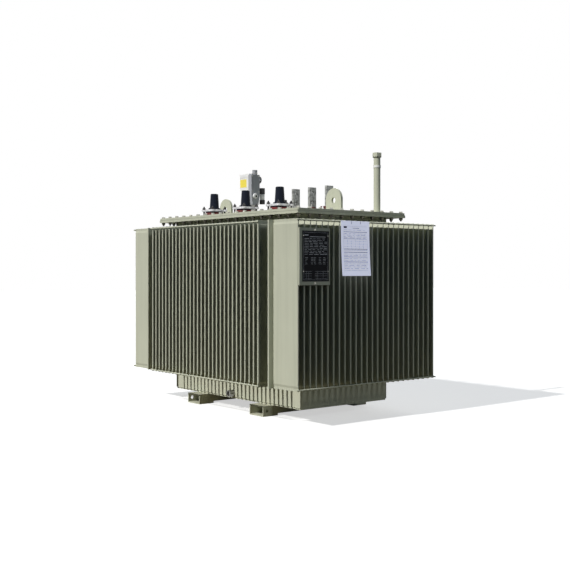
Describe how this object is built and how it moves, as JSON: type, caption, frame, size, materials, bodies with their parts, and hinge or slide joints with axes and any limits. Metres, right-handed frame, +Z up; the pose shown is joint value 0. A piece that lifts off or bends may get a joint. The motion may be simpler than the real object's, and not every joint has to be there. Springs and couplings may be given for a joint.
{
  "type": "power transformer",
  "caption": "Oil-filled distribution transformer: corrugated fin walls round a tank on hollow skids, with cone and palm bushings, a relay, lugs and a filler pipe on its cover.",
  "frame": {"origin": "on the ground under the middle of the whole, which is where the skids rest; the tank's own middle is 7 mm to the left of it, because the paper sheet stands out on the right side only", "axes": "+Z up, +X along the long side towards the rating plate, -Y towards the high-voltage bushings"},
  "size_m": [1.6888, 1.1406, 1.52],
  "materials": {
    "tank_paint": "satin grey-green paint",
    "gasket_rubber": "matt black rubber",
    "red_gasket": "dark red rubber",
    "black_epoxy": "satin black moulded epoxy",
    "cast_aluminium": "as cast, light",
    "brown_epoxy": "glazed brown",
    "tinned_metal": "dull tinned",
    "relay_grey": "satin grey",
    "fitting_steel": "plated, dull",
    "white_plastic": "white moulded plastic",
    "black_plastic": "black moulded plastic",
    "plate_face": "dark anodised plate",
    "paper": "white paper in a clear sleeve",
    "core_steel": "laminated steel and wrapped windings"
  },
  "bodies": {
    "root": {"skid_left": "tank_paint", "skid_right": "tank_paint", "bottom_plate": "tank_paint", "lower_box": "tank_paint", "neck_frame": "tank_paint", "tank_flange": "tank_paint", "cover": "tank_paint", "cover_gasket": "gasket_rubber", "hv_gaskets": "red_gasket", "lifting_lug_left": "tank_paint", "lifting_lug_right": "tank_paint", "relay_base": "fitting_steel", "relay_body": "relay_grey", "relay_terminal_box": "white_plastic", "relay_gauge": "black_plastic", "tap_changer": "black_plastic", "filler_pipe": "tank_paint", "filler_cap": "tank_paint", "drain_plug": "fitting_steel", "rating_plate_bracket": "tank_paint", "rating_plate": "plate_face", "paper_sheet": "paper", "core_and_windings": "core_steel", "front_fin_wall": "tank_paint", "front_fin_rods": "tank_paint", "rear_fin_wall": "tank_paint", "rear_fin_rods": "tank_paint", "left_fin_wall": "tank_paint", "left_fin_rods": "tank_paint", "right_fin_wall": "tank_paint", "right_fin_rods": "tank_paint", "hv_bushing_1": "black_epoxy", "hv_clamp_ring_1": "cast_aluminium", "hv_bushing_2": "black_epoxy", "hv_clamp_ring_2": "cast_aluminium", "hv_bushing_3": "black_epoxy", "hv_clamp_ring_3": "cast_aluminium", "lv_bushing_1": "brown_epoxy", "lv_palm_1": "tinned_metal", "lv_bushing_2": "brown_epoxy", "lv_palm_2": "tinned_metal", "lv_bushing_3": "brown_epoxy", "lv_palm_3": "tinned_metal", "lv_bushing_4": "brown_epoxy", "lv_palm_4": "tinned_metal"}
  },
  "joints": []
}
